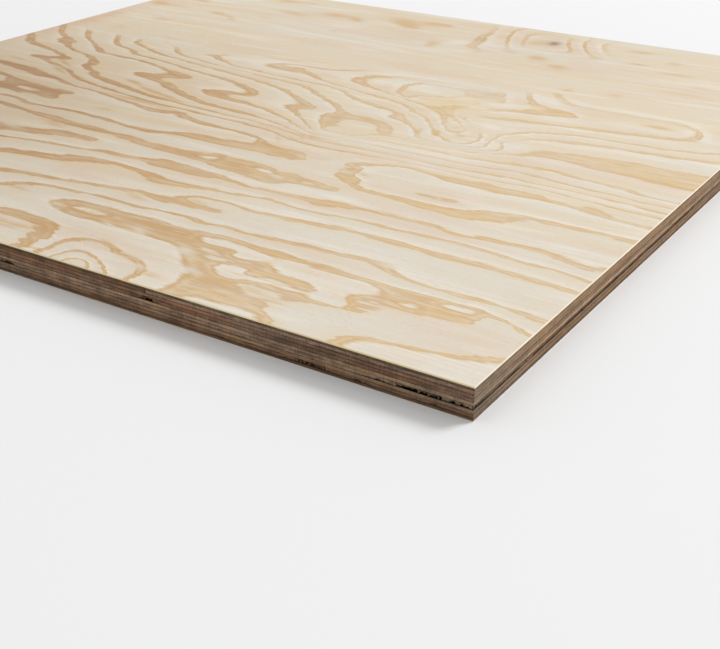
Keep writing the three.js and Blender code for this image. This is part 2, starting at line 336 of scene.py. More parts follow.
WIDE_LATEWOOD = [
    (-160, -60, 200, 110, 0, 0.07), (-90, -30, 90, 45, 0, 0.08), (160, 58, 50, 16, 12, 0.1),
    (262, -284, 90, 16, -6, -0.08), (-42, -191, 70, 10, 5, 0.24),
]

# The other marks, under the names that the materials read them by.
FACE_MARKS = {
    "blotch": [
        (-312, 208, 14, 9, -20, 0.9), (-282, 240, 14, 8, -20, 0.8), (-285, 207, 18, 6, 0, 0.6),
        (-235, 203, 14, 5, -10, 0.6), (-208, 193, 14, 5, -40, 0.7), (-180, 213, 18, 6, -10, 0.5),
        (-168, 243, 26, 8, -10, 0.7), (-130, 259, 18, 9, 0, 0.8), (-103, 255, 12, 7, -30, 0.85),
        (-205, 284, 16, 8, 15, 0.8), (-180, 290, 12, 6, 0, 0.5), (-60, 272, 22, 13, -25, 0.9),
        (-45, 258, 16, 8, -20, 0.7), (-30, 279, 14, 9, 0, 0.9), (-15, 280, 8, 6, 0, 0.6),
        (-318, 150, 10, 16, 0, 0.6), (-318, 115, 10, 20, 0, 0.5), (-262, 155, 14, 9, 0, 0.6),
        (-275, 110, 14, 8, -20, 0.5), (-205, 100, 12, 8, 0, 0.5), (-212, 68, 10, 7, 0, 0.6),
        (-268, -24, 18, 3, -12, 0.7), (-103, -92, 9, 3, 0, 0.7), (-70, 98, 46, 3, 17, 0.55),
        (-97, 205, 8, 4, -40, 0.5), (5, 212, 8, 14, 10, 0.8), (52, 210, 8, 6, 0, 0.5),
        (76, 226, 10, 8, 0, 0.6), (106, 218, 12, 9, -20, 0.9), (133, 201, 12, 8, -10, 0.9),
        (148, 245, 9, 9, 20, 0.6), (175, 284, 16, 6, 8, 0.8), (185, 244, 16, 6, 15, 0.7),
        (212, 262, 8, 10, -35, 0.6), (222, 230, 22, 6, 8, 0.7), (250, 180, 40, 4, 0, 0.4),
        (168, 143, 6, 7, 0, 0.7), (205, 147, 7, 5, 0, 0.5), (262, 90, 13, 5, 0, 0.8),
        (294, 72, 10, 4, 5, 0.7), (134, -7, 8, 3, -62, 1.3), (121, -10, 9, 3, -75, 0.8),
        (152, -4, 6, 5, 0, 0.7), (140, 10, 4, 4, 0, 0.6), (170, 28, 5, 2.5, -60, 0.5),
        (124, 74, 8, 2, -56, 0.6), (107, 66, 8, 2, -60, 0.45), (92, 78, 10, 2, -55, 0.45),
        (176, 118, 12, 2, -45, 0.55), (168, 126, 9, 2, -45, 0.4), (82, 265, 12, 16, -14, 0.6),
        (255, 205, 12, 6, 0, 0.4), (230, 150, 54, 2.5, 0, 0.5), (276, 166, 40, 2.5, 0, 0.5),
        (185, 187, 50, 2.5, 4, 0.45), (296, 200, 34, 3, 0, 0.5), (120, 163, 46, 2.5, 2, 0.4),
        (48, -79, 11, 2.2, -48, 0.75), (54, -73, 8, 1.8, -54, 0.6), (60, -67, 7, 1.8, -54, 0.65),
        (66, -65, 6, 1.8, -54, 0.55), (79, -87, 9, 1.8, -45, 0.5), (97, -97, 12, 2.2, 10, 0.6),
        (110, -87, 8, 2, 50, 0.45), (45, -62, 50, 3, -3, 0.5), (28, -56, 30, 2, -8, 0.4),
        (50, -47, 16, 1.6, -45, 0.5), (62, -54, 14, 1.6, -45, 0.5), (100, -66, 30, 2, -4, 0.35),
        (40, 150, 60, 2.5, 0, 0.35), (170, 128, 40, 2, -4, 0.4), (262, 226, 30, 3, 0, 0.45),
        (-229, 204, 12, 5, -10, 0.5), (14, -290, 14, 5, 20, 0.7), (-2, -289, 8, 5, 0, 0.6),
        (182, -285, 10, 4, -10, 0.6), (200, -291, 9, 4, -5, 0.6), (228, -270, 12, 4, -10, 0.6),
        (166, -275, 9, 3, -15, 0.5), (124, -300, 9, 4, -10, 0.6), (137, -108, 9, 3, -20, 0.7),
        (39, -216, 12, 3, -12, 0.8), (-111, -138, 14, 4, -12, 0.8), (78, -203, 12, 3, -15, 0.7),
        (-34, -244, 14, 4, -5, 0.7), (-180, -41, 11, 3, -24, 1.5), (-173, -29, 15, 2.6, -16, 1.5),
        (-140, -38, 20, 3, -18, 1.6), (-136, -25, 12, 2.6, -16, 1.3),
        (-110, -36, 14, 2.6, -16, 1.5), (-82, -43, 20, 2.6, -16, 1.2), (-98, -62, 40, 2.6, -5, 1.1),
        (-213, -31, 24, 2.6, -26, 1.0), (-224, -13, 22, 2.4, -28, 1.0),
    ],
    "stain": [
        (112, 56, 26, 22, -35, 0.8), (160, 46, 36, 8, 12, 0.7), (180, 80, 26, 8, 0, 0.7),
        (262, 90, 20, 7, 0, 0.7),
    ],
    # The first heartwood patch, large and strong over the left of the face, is partly darker heartwood and
    # partly painted shade, darkening the face towards the left where the light falls off.
    "heartwood": [
        (-310, -130, 300, 230, 0, 1.2), (40, -270, 130, 60, 0, 0.2), (30, 250, 260, 110, 0, 0.22),
    ],
    "reddened": [
        (290, -22, 70, 10, 0, 0.5), (312, -21, 9, 6, 0, 0.5), (-240, -75, 50, 14, 0, 0.4),
        (-324, 110, 18, 90, 0, 1.1), (-316, 232, 24, 24, 0, 0.8),
    ],
    "pale": [
        (-72, 86, 34, 5, 14, 1.0), (12, 99, 38, 4, 22, 0.8), (147, 79, 18, 5, 20, 1.0),
        (30, 80, 9, 9, 0, 0.6), (20, 226, 26, 7, 30, 0.7), (36, 203, 24, 6, 12, 0.6),
        (172, 105, 16, 6, -35, 0.7), (-100, 226, 16, 10, 0, 0.5), (158, 28, 12, 6, -35, 0.6),
        (197, -4, 9, 9, 0, 0.3), (240, 82, 40, 8, 8, 0.4), (195, 66, 22, 3, 10, 0.6),
        (285, 90, 5, 8, 0, 0.6), (118, 88, 6, 12, -30, 0.4), (136, 21, 7, 3, 0, 0.8),
    ],
    "knot": [(97, 272, 5, 7, 10, 0.85), (97, 272, 14, 12, 0, 0.12)],
}
BACK_MARKS = {
    "stain": [(-140, 60, 40, 20, 0, 0.4)],
    "knot": [(-140, 60, 9, 7, 0, 0.9), (170, -120, 7, 6, 0, 0.9)],
}

# Past this line, in mm along X and Y, the face is cut along a single ring, and its growth lines fade
# out within so many mm. From so far back, the lines that bend round the knot show again.
PLAIN_FROM = [
    (-330, 84), (-290, 74), (-240, 74), (-175, 68), (-158, 58), (-146, 58), (-136, 74), (-110, 84),
    (-60, 88), (0, 95), (120, 96), (150, 110), (170, 122), (185, 112), (240, 110), (330, 108),
]
FADES_WITHIN, KNOT_LINES_FROM = 14, 200

# How dark the growth lines are from the left edge to the right, in mm along X.
FADING = [(-330, 1.0), (-150, 0.9), (0, 0.78), (150, 0.65), (330, 0.58)]

# The back's ring heights: an arch about a line along X, shifted by waves and drawn in at the knots.
# A wave is its lengths along X and Y in mm, its layer of the noise, and how many rings it shifts.
BACK_ARCH_FOOT, BACK_ARCH_LINE, BACK_ARCH_RISE = 9, -60, 0.000055
BACK_WAVES = [(260, 90, 0.0, 1.9), (70, 25, 4.0, 0.25)]
KNOT_PULL = 1.3
BACK_STRENGTH = 0.7  # how dark its growth lines are

# How wide the latewood is, as a share of a ring.
FACE_LATEWOOD, BACK_LATEWOOD = 0.22, 0.28


# ---- From lines and spots to a number at every point ----

PLATE_UNIT = 100  # mm: the plate is worked out in tenths of a metre, so that its numbers stay near 1
LEAST_GAP = 1e-12  # keeps the logarithm finite where two places are the same
PLACES_AT_ONCE = 4000  # bounds the memory that the distances take
LEAST_SLOPE, MOST_SLOPE = 0.012, 0.12  # bounds of the kept steepness, in rings per mm


def along(points, step):
    """The points of a line with more put between them, so that none lie further apart than step."""
    spaced = [np.array(points[0], float)]
    for start, end in zip(points, points[1:]):
        start, end = np.array(start, float), np.array(end, float)
        pieces = max(1, math.ceil(np.linalg.norm(end - start) / step))
        spaced += [start + (end - start) * k / pieces for k in range(1, pieces + 1)]
    return np.array(spaced)


def ring_heights(places, lines, spots, step=12.0, stretch=2.0, slack=2e-4):
    """The ring height at each place, from the lines and spots of a figure, in mm.

    A thin plate is bent to pass close to every line. Places count as nearer along the grain than
    across it by the factor stretch, and slack is how far the plate may keep off a point.
    """
    scale = np.array([1 / stretch, 1.0]) / PLATE_UNIT
    known = [along(points, step) for _, points in lines] + [np.array(p, float) for _, p in spots]
    heights = [height for height, _ in (*lines, *spots)]
    heights = np.concatenate([np.full(len(p), h) for h, p in zip(heights, known)])
    known = np.concatenate(known) * scale

    def bending(points):
        gaps = ((points[:, None, :] - known[None, :, :]) ** 2).sum(-1)
        return gaps * np.log(gaps + LEAST_GAP)

    count = len(known)
    plane = np.column_stack([np.ones(count), known])
    stiffness = bending(known) + slack * np.eye(count)
    system = np.block([[stiffness, plane], [plane.T, np.zeros((3, 3))]])
    weights = np.linalg.solve(system, np.concatenate([heights, np.zeros(3)]))
    found = np.empty(len(places))
    for start in range(0, len(places), PLACES_AT_ONCE):
        some = places[start:start + PLACES_AT_ONCE] * scale
        bent = bending(some) @ weights[:count]
        found[start:start + PLACES_AT_ONCE] = bent + weights[count] + some @ weights[count + 1:]
    return found


def patches(places, spots):
    """How strongly soft patches cover each place."""
    cover = np.zeros(len(places))
    for x, y, half_length, half_width, turn, strength in spots:
        cosine, sine = math.cos(math.radians(turn)), math.sin(math.radians(turn))
        off = places - (x, y)
        u = (off[:, 0] * cosine + off[:, 1] * sine) / half_length
        v = (off[:, 1] * cosine - off[:, 0] * sine) / half_width
        cover += strength * np.exp(-(u * u + v * v))
    return cover


def line_strengths(places):
    """How dark the growth lines are at each place on the face."""
    x, y = places.T
    past = (y - np.interp(x, *zip(*PLAIN_FROM))) / FADES_WITHIN
    lines_left = 1 - np.clip(past, 0, 1)
    strong = patches(places, STRONG_LINES) * np.where(y > KNOT_LINES_FROM, 1, lines_left)
    return np.clip(np.interp(x, *zip(*FADING)) * lines_left + strong, 0, 1)


def back_ring_heights(places):
    """Broad flat-cut arches across the back, drawn in around its knots."""
    heights = BACK_ARCH_FOOT + BACK_ARCH_RISE * (places[:, 1] - BACK_ARCH_LINE) ** 2
    for along_x, along_y, layer, shift in BACK_WAVES:
        waves = [noise.noise(Vector((x / along_x, y / along_y, layer))) for x, y in places]
        heights += shift * np.array(waves)
    return heights + KNOT_PULL * patches(places, BACK_MARKS["knot"])


# ---- Edit-mode helpers ----

def start_piece(name, mesh):
    """A new object in the scene for this mesh, alone selected and active."""
    piece = bpy.data.objects.new(name, mesh)
    bpy.context.scene.collection.objects.link(piece)
    pick(piece)
    return piece


def pick(piece):
    """Selects the piece alone and makes it active."""
    bpy.ops.object.select_all(action="DESELECT")
    piece.select_set(True)
    bpy.context.view_layer.objects.active = piece


def select_edges(piece, test):
    """In edit mode, selects the edges that pass the test, and says how many there are."""
    bpy.ops.mesh.select_mode(type="EDGE")
    bpy.ops.mesh.select_all(action="DESELECT")
    shape = bmesh.from_edit_mesh(piece.data)
    chosen = [edge for edge in shape.edges if test(edge)]
    for edge in chosen:
        edge.select_set(True)
    bmesh.update_edit_mesh(piece.data)
    return len(chosen)


def select_faces(piece, test):
    """In edit mode, selects the faces that pass the test."""
    bpy.ops.mesh.select_mode(type="FACE")
    bpy.ops.mesh.select_all(action="DESELECT")
    shape = bmesh.from_edit_mesh(piece.data)
    for face in shape.faces:
        face.select_set(test(face))
    bmesh.update_edit_mesh(piece.data)


def is_level(edge):
    """Whether both ends of the edge lie at the same height."""
    return abs(edge.verts[0].co.z - edge.verts[1].co.z) < NEAR


def vectors(elements, name):
    """A vector property of each vertex or face of a mesh, as the rows of an array."""
    values = np.empty(len(elements) * 3)
    elements.foreach_get(name, values)
    return values.reshape(-1, 3)


def heights_of(node):
    """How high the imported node's underside and top lie."""
    low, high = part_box(node)
    return low.z, high.z


def settle(piece):
    """Puts the piece's place into its mesh, so that its object sits at the origin, unturned."""
    pick(piece)
    bpy.ops.object.transform_apply(location=True, rotation=True, scale=True)


def store(piece, name, values):
    """Keeps a number for each vertex, for the materials to read."""
    layer = piece.data.attributes.new(name, "FLOAT", "POINT")
    layer.data.foreach_set("value", np.asarray(values, np.float32))


def store_rings(piece, heights):
    """Keeps each vertex's ring height, and how steeply it changes there, in rings per mm."""
    ends = np.empty(len(piece.data.edges) * 2, np.int32)
    piece.data.edges.foreach_get("vertices", ends)
    first, second = ends.reshape(-1, 2).T
    places = vectors(piece.data.vertices, "co") / MM
    steepness = np.abs(heights[first] - heights[second])
    steepness /= np.linalg.norm(places[first] - places[second], axis=1)
    steepest = np.full(len(heights), LEAST_SLOPE)
    np.maximum.at(steepest, first, steepness)
    np.maximum.at(steepest, second, steepness)
    store(piece, "ring_height", heights)
    store(piece, "ring_slope", np.minimum(steepest, MOST_SLOPE))


def vertex_group(piece, name, weights):
    """Puts the vertices whose weight isn't 0 in a new group."""
    group = piece.vertex_groups.new(name=name)
    for weight in sorted(set(weights) - {0.0}):
        group.add(np.flatnonzero(weights == weight).tolist(), float(weight), "REPLACE")


def roughen(piece, name, group, grain, depth, direction, middle):
    """Moves a group's vertices by a cloud of this grain size, whose middle grey moves nothing."""
    cloud = bpy.data.textures.new(name, "CLOUDS")
    cloud.noise_scale = grain
    cloud.noise_depth = 2
    modifier = piece.modifiers.new(name, "DISPLACE")
    modifier.texture = cloud
    modifier.texture_coords = "LOCAL"
    modifier.vertex_group = group
    modifier.direction = direction
    modifier.strength = depth
    modifier.mid_level = middle
    pick(piece)
    bpy.ops.object.modifier_apply(modifier=name)


# ---- Node helpers ----

def add_node(tree, kind, inputs=None, **settings):
    """Adds a node, with its settings, and feeds its inputs from sockets or plain values."""
    node = tree.nodes.new(kind)
    for name, value in settings.items():
        setattr(node, name, value)
    for name, value in (inputs or {}).items():
        if isinstance(value, bpy.types.NodeSocket):
            tree.links.new(value, node.inputs[name])
        else:
            node.inputs[name].default_value = value
    return node


def maths(tree, operation, first, second=0.0):
    """One step of arithmetic on sockets or plain values."""
    return add_node(tree, "ShaderNodeMath", {0: first, 1: second}, operation=operation).outputs[0]


def blend_colours(tree, share, first, second, blend="MIX"):
    """The first colour turning into the second, or multiplied by it, as the share goes to 1."""
    node = add_node(tree, "ShaderNodeMix", {0: share, 6: first, 7: second},
                    data_type="RGBA", blend_type=blend)
    return node.outputs[2]


def split_place(tree, place, axis):
    """One of the coordinates of a place."""
    return add_node(tree, "ShaderNodeSeparateXYZ", {0: place}).outputs[axis]


def ramp(tree, value, low, high, to_low=0.0, to_high=1.0):
    """A smooth step from one value to another as the input goes from low to high."""
    sides = {"Value": value, "From Min": low, "From Max": high, "To Min": to_low, "To Max": to_high}
    return add_node(tree, "ShaderNodeMapRange", sides, interpolation_type="SMOOTHSTEP").outputs[0]


def effect_group(name, inputs, outputs):
    """A new node group with these sockets, and its input and output nodes."""
    group = bpy.data.node_groups.new(name, "ShaderNodeTree")
    for socket, kind, default in inputs:
        made = group.interface.new_socket(socket, in_out="INPUT", socket_type=kind)
        if default is not None:
            made.default_value = default
    for socket, kind in outputs:
        group.interface.new_socket(socket, in_out="OUTPUT", socket_type=kind)
    return group, group.nodes.new("NodeGroupInput").outputs, group.nodes.new("NodeGroupOutput")


def use_group(tree, name, inputs):
    """Places a node group in a tree, and gives its outputs."""
    group = bpy.data.node_groups[name]
    return add_node(tree, "ShaderNodeGroup", inputs, node_tree=group).outputs


# ---- Effects that the wood materials share ----

def make_fibres_group():
    """Streaks of wood fibre: a cloud drawn out along the sheet's own directions."""
    group, given, out = effect_group(
        "wood_fibres",
        [("Vector", "NodeSocketVector", None), ("Length", "NodeSocketFloat", 50 * MM),
         ("Width", "NodeSocketFloat", 1 * MM), ("Height", "NodeSocketFloat", 1 * MM),
         ("Detail", "NodeSocketFloat", 3.0)],
        [("Streak", "NodeSocketFloat")])
    size = add_node(group, "ShaderNodeCombineXYZ",
                    {"X": given["Length"], "Y": given["Width"], "Z": given["Height"]})
    drawn = add_node(group, "ShaderNodeVectorMath", {0: given["Vector"], 1: size.outputs[0]},
                     operation="DIVIDE")
    cloud = add_node(group, "ShaderNodeTexNoise",
                     {"Vector": drawn.outputs[0], "Scale": 1.0, "Detail": given["Detail"]})
    group.links.new(ramp(group, cloud.outputs["Fac"], 0.25, 0.75), out.inputs["Streak"])


def make_rings_group():
    """The parts of a growth ring: its fresh start, then the halo, band and dark rim of its latewood."""
    group, given, out = effect_group(
        "growth_rings",
        [("Ring Height", "NodeSocketFloat", 0.0), ("Share", "NodeSocketFloat", 0.25)],
        [("Fresh", "NodeSocketFloat"), ("Halo", "NodeSocketFloat"), ("Band", "NodeSocketFloat"),
         ("Rim", "NodeSocketFloat")])
    place = maths(group, "FRACT", given["Ring Height"])
    left = maths(group, "DIVIDE", maths(group, "SUBTRACT", 1.0, place), given["Share"])
    group.links.new(ramp(group, place, 0.03, 0.45, 1.0, 0.0), out.inputs["Fresh"])
    for part, starts, is_full, at_end in (("Halo", 1.7, 0.85, 1.0), ("Band", 1.02, 0.7, 0.55),
                                          ("Rim", 0.5, 0.2, 0.0)):
        rise = ramp(group, left, starts, is_full)
        fall = ramp(group, place, 0.97, 1.0, 1.0, at_end)
        after = ramp(group, place, 0.0, 0.04, at_end, 0.0)
        before = maths(group, "MULTIPLY", rise, fall)
        made = maths(group, "MAXIMUM", before, after)
        if part == "Rim":  # the band's early side has a thin dark line as well
            risen, fallen = ramp(group, left, 1.0, 0.88), ramp(group, left, 0.5, 0.82)
            made = maths(group, "MAXIMUM", made, maths(group, "MULTIPLY", risen, fallen))
        group.links.new(made, out.inputs[part])


def make_contours_group():
    """Faint lines that follow the growth rings, drawn out along the grain."""
    group, given, out = effect_group(
        "ring_contours",
        [("Vector", "NodeSocketVector", None), ("Ring Height", "NodeSocketFloat", 0.0),
         ("Length", "NodeSocketFloat", 250 * MM), ("Lines", "NodeSocketFloat", 7.0)],
        [("Contour", "NodeSocketFloat")])
    along_grain = split_place(group, given["Vector"], "X")
    across = maths(group, "MULTIPLY", given["Ring Height"], given["Lines"])
    drawn = add_node(group, "ShaderNodeCombineXYZ",
                     {"X": maths(group, "DIVIDE", along_grain, given["Length"]), "Y": across})
    cloud = add_node(group, "ShaderNodeTexNoise",
                     {"Vector": drawn.outputs[0], "Scale": 1.0, "Detail": 3.0})
    group.links.new(ramp(group, cloud.outputs["Fac"], 0.3, 0.7), out.inputs["Contour"])


def make_glue_group():
    """The dark glue line along the top and the bottom of a veneer's sawn edge."""
    group, given, out = effect_group(
        "glue_line",
        [("Vector", "NodeSocketVector", None), ("Low", "NodeSocketFloat", 0.0),
         ("High", "NodeSocketFloat", 0.0), ("Width", "NodeSocketFloat", 0.4 * MM)],
        [("Glue", "NodeSocketFloat")])
    height = split_place(group, given["Vector"], "Z")
    from_low = maths(group, "SUBTRACT", height, given["Low"])
    from_high = maths(group, "SUBTRACT", given["High"], height)
    nearest = maths(group, "MINIMUM", from_low, from_high)
    ragged = add_node(group, "ShaderNodeTexNoise", {"Vector": given["Vector"], "Scale": 160.0})
    uneven = ramp(group, ragged.outputs["Fac"], 0.3, 0.7, 0.5, 1.6)
    width = maths(group, "MULTIPLY", given["Width"], uneven)
    share = maths(group, "DIVIDE", nearest, width)
    group.links.new(ramp(group, share, 0.2, 1.0, 1.0, 0.0), out.inputs["Glue"])


# ---- Materials ----

# How far, in rings, the fibres shift a growth line even where it lies flat, and how far the finest of
# them draw it out into fingers.
LEAST_REACH, FINGER = 0.025, 0.02


def new_material(name):
    """A material with an empty tree but for its shader, and the sheet's own coordinates."""
    material = bpy.data.materials.new(name)
    material.use_nodes = True
    tree = material.node_tree
    shader = tree.nodes["Principled BSDF"]
    place = tree.nodes.new("ShaderNodeTexCoord").outputs["Object"]
    return material, tree, shader, place


def kept_number(tree, name):
    """A number that the piece keeps for each vertex."""
    return add_node(tree, "ShaderNodeAttribute", attribute_name=name).outputs["Fac"]


def fibres(tree, place, length, width, height=10 * MM, detail=3.0):
    """Streaks of wood fibre of this length, width and height."""
    size = {"Length": length, "Width": width, "Height": height, "Detail": detail}
    return use_group(tree, "wood_fibres", {"Vector": place, **size})["Streak"]


def feed_shader(tree, shader, colour, roughness, height, depth):
    """Colour, roughness and a bump of this depth in metres."""
    bump = add_node(tree, "ShaderNodeBump", {"Height": height, "Distance": depth, "Strength": 1.0})
    tree.links.new(colour, shader.inputs["Base Color"])
    tree.links.new(roughness, shader.inputs["Roughness"])
    tree.links.new(bump.outputs[0], shader.inputs["Normal"])


def figure_height(tree, place, look):
    """The ring height that the piece keeps, with its growth lines shifted by fibres."""
    wander = fibres(tree, place, 22 * MM, 4.2 * MM, detail=4.0)
    reach = maths(tree, "MULTIPLY", kept_number(tree, "ring_slope"), look.line_wander / MM)
    reach = maths(tree, "ADD", reach, LEAST_REACH)
    swing = maths(tree, "MULTIPLY", maths(tree, "SUBTRACT", wander, 0.5), reach)
    finger = ramp(tree, fibres(tree, place, 15 * MM, 1.5 * MM, detail=2.0), 0.0, 1.0, -FINGER, FINGER)
    return maths(tree, "ADD", kept_number(tree, "ring_height"), maths(tree, "ADD", swing, finger))


def figure_colour(tree, place, rings, contour, fine, look):
    """The colour of sanded wood: earlywood first, then what lies in and over it, layer by layer."""
    def layer(under, share, over, most=1.0):
        return blend_colours(tree, maths(tree, "MULTIPLY", share, most), under, over[:])

    thread, strength = fibres(tree, place, 90 * MM, 2.2 * MM), kept_number(tree, "line_strength")
    # This mask is partly heartwood and partly painted shade that darkens the left of the face.
    heart_and_shade = kept_number(tree, "heartwood")

    # The earlywood, warmer away from the front edge, and the palest wood at the start of each ring.
    warmer = ramp(tree, split_place(tree, place, "Y"), -280 * MM, 50 * MM, 0.4, 1.6)
    warmth = maths(tree, "MULTIPLY", warmer, fibres(tree, place, 240 * MM, 14 * MM))
    colour = blend_colours(tree, warmth, look.earlywood[:], look.earlywood_warm[:])
    lined = ramp(tree, strength, 0.02, 0.4)
    fresh = maths(tree, "MULTIPLY", maths(tree, "MULTIPLY", rings["Fresh"], thread), lined)
    fresh = maths(tree, "MAXIMUM", fresh, kept_number(tree, "pale"))
    colour = layer(colour, fresh, look.fresh_wood, 0.9)
    pale_streak = ramp(tree, fibres(tree, place, 100 * MM, 9 * MM), 0.6, 0.95)
    colour = layer(colour, pale_streak, look.fresh_wood, 0.45)

    # Reddened wood, stains and grazed latewood.
    flushed = ramp(tree, fibres(tree, place, 120 * MM, 30 * MM, detail=4.0), 0.5, 0.95, 0.0, 0.4)
    flushed = maths(tree, "MAXIMUM", flushed, kept_number(tree, "reddened"))
    colour = layer(colour, flushed, look.reddened, 0.7)
    colour = layer(colour, maths(tree, "MULTIPLY", kept_number(tree, "stain"), contour), look.stain)
    colour = layer(colour, maths(tree, "MULTIPLY", contour, thread), look.halo, 0.3)
    blotch = maths(tree, "ADD", kept_number(tree, "blotch"), maths(tree, "MULTIPLY", thread, 0.5))
    colour = layer(colour, ramp(tree, blotch, 0.38, 1.3), look.blotch, 0.85)

    # The latewood, patchy along the grain, browner in the heartwood and in the painted shade over the left
    # of the face, and darkest at its rim.
    patchy = maths(tree, "MULTIPLY", strength, ramp(tree, thread, 1.0, 0.0, 0.75, 1.05))
    broken = ramp(tree, fibres(tree, place, 45 * MM, 7 * MM), 0.2, 0.8, 0.62, 1.1)
    patchy = maths(tree, "MULTIPLY", patchy, broken)
    dense = blend_colours(tree, heart_and_shade, look.band[:], look.band_brown[:])
    colour = layer(colour, maths(tree, "MULTIPLY", rings["Halo"], patchy), look.halo, 0.6)
    colour = blend_colours(tree, maths(tree, "MULTIPLY", rings["Band"], patchy), colour, dense)
    colour = layer(colour, maths(tree, "MULTIPLY", rings["Rim"], strength), look.rim, 0.6)
    dark_streak = ramp(tree, fibres(tree, place, 50 * MM, 1.4 * MM), 0.5, 0.9)
    streaky = maths(tree, "MULTIPLY", rings["Band"], dark_streak)
    colour = layer(colour, maths(tree, "MULTIPLY", streaky, strength), look.rim, 0.45)

    # Fine fibres, resin canals and knots over all of it, and the tint of the heartwood, which over the
    # left of the face is painted shade where the light falls off.
    colour = layer(colour, ramp(tree, fine, 0.9, 0.1), look.band, 0.16)
    canals = ramp(tree, fibres(tree, place, 3.5 * MM, 0.6 * MM, detail=0.0), 0.97, 1.0)
    colour = layer(colour, canals, look.rim, 0.2)
    colour = layer(colour, kept_number(tree, "knot"), look.knot)
    return blend_colours(tree, heart_and_shade, colour, look.heartwood[:], "MULTIPLY")


def sanded_figure(name, look):
    """The sanded face or back: earlywood, latewood, fibres, knots and stains."""
    material, tree, shader, place = new_material(name)
    height = figure_height(tree, place, look)
    rings = use_group(tree, "growth_rings", {"Ring Height": height,
                                             "Share": kept_number(tree, "latewood_share")})
    contour = use_group(tree, "ring_contours", {"Vector": place, "Ring Height": height})["Contour"]
    fine = fibres(tree, place, 30 * MM, 0.6 * MM)
    colour = figure_colour(tree, place, rings, contour, fine, look)
    roughness = ramp(tree, rings["Band"], 0.0, 1.0, 0.6, 0.48)
    relief = maths(tree, "ADD", maths(tree, "MULTIPLY", fine, 0.5), rings["Band"])
    feed_shader(tree, shader, colour, roughness, relief, look.grain_depth)
    return material


def sawn_edge(node, side, colour, end_grain, uneven, soiled, look):
    """The sawn edge of one veneer, between its two glue lines."""
    material, tree, shader, place = new_material(f"{node}_{side}_edge")
    low, high = heights_of(node)

    def cloud(length, height, detail=3.0):
        return fibres(tree, place, length, length, height, detail)

    streak = cloud(5 * MM if end_grain else 45 * MM, 0.6 * MM)
    patch, soil = cloud(50 * MM, 4 * MM, 2.0), cloud(9 * MM, 3.5 * MM, 5.0)
    saw_mark = cloud(1.1 * MM, 20 * MM, 1.0)
    speckle = cloud(0.9 * MM, 0.9 * MM, 2.0)
    glue = use_group(tree, "glue_line", {"Vector": place, "Low": low, "High": high,
                                         "Width": look.glue_width})["Glue"]

    tone = maths(tree, "MULTIPLY", patch, 0.2)
    for part, weight in ((streak, 0.3), (soil, 0.25), (saw_mark, 0.1), (speckle, 0.15)):
        tone = maths(tree, "ADD", tone, maths(tree, "MULTIPLY", part, weight))
    shade = ramp(tree, tone, 0.22, 0.78, 1.0 - uneven, 1.0 + uneven)
    shade = maths(tree, "MULTIPLY", shade, ramp(tree, glue, 0.0, 1.0, 1.0, 1.0 - uneven))

    from_front = split_place(tree, place, "Y")
    greyed = ramp(tree, from_front, -HALF_WIDTH, SOILED_REACH - HALF_WIDTH, soiled, 0.0)
    weathered = ramp(tree, cloud(70 * MM, 6 * MM), 0.45, 0.8, 0.0, 0.7 * uneven)
    weathered = maths(tree, "MAXIMUM", weathered, greyed)
    tint = blend_colours(tree, weathered, colour[:], look.weathered[:])
    shaded = add_node(tree, "ShaderNodeVectorMath", {0: tint, "Scale": shade}, operation="SCALE")
    relief = maths(tree, "SUBTRACT", maths(tree, "ADD", speckle, streak), glue)
    feed_shader(tree, shader, shaded.outputs[0], ramp(tree, speckle, 0.0, 1.0, 0.95, 0.8), relief,
                look.saw_depth * (0.8 if end_grain else 0.4))
    return material


def eased_edge(name, colour, look):
    """The narrow sanded flat along the corners of the face, pale partly as a painted highlight."""
    material, tree, shader, place = new_material(name)
    streak = fibres(tree, place, 12 * MM, 12 * MM, 1 * MM)
    colour = blend_colours(tree, maths(tree, "MULTIPLY", streak, 0.5), colour[:], look.halo[:])
    feed_shader(tree, shader, colour, ramp(tree, streak, 0.0, 1.0, 0.6, 0.7), streak, look.grain_depth)
    return material


# ---- What a user may change ----

def length_property(name, description, default, least=0.0):
    """A length that a user may change."""
    return FloatProperty(name=name, description=description, default=default, min=least,
                         unit="LENGTH", precision=5)


def colour_property(name, description, code):
    """A colour that a user may change."""
    return FloatVectorProperty(name=name, description=description, default=paint(code), size=4,
                               subtype="COLOR", min=0, max=1)


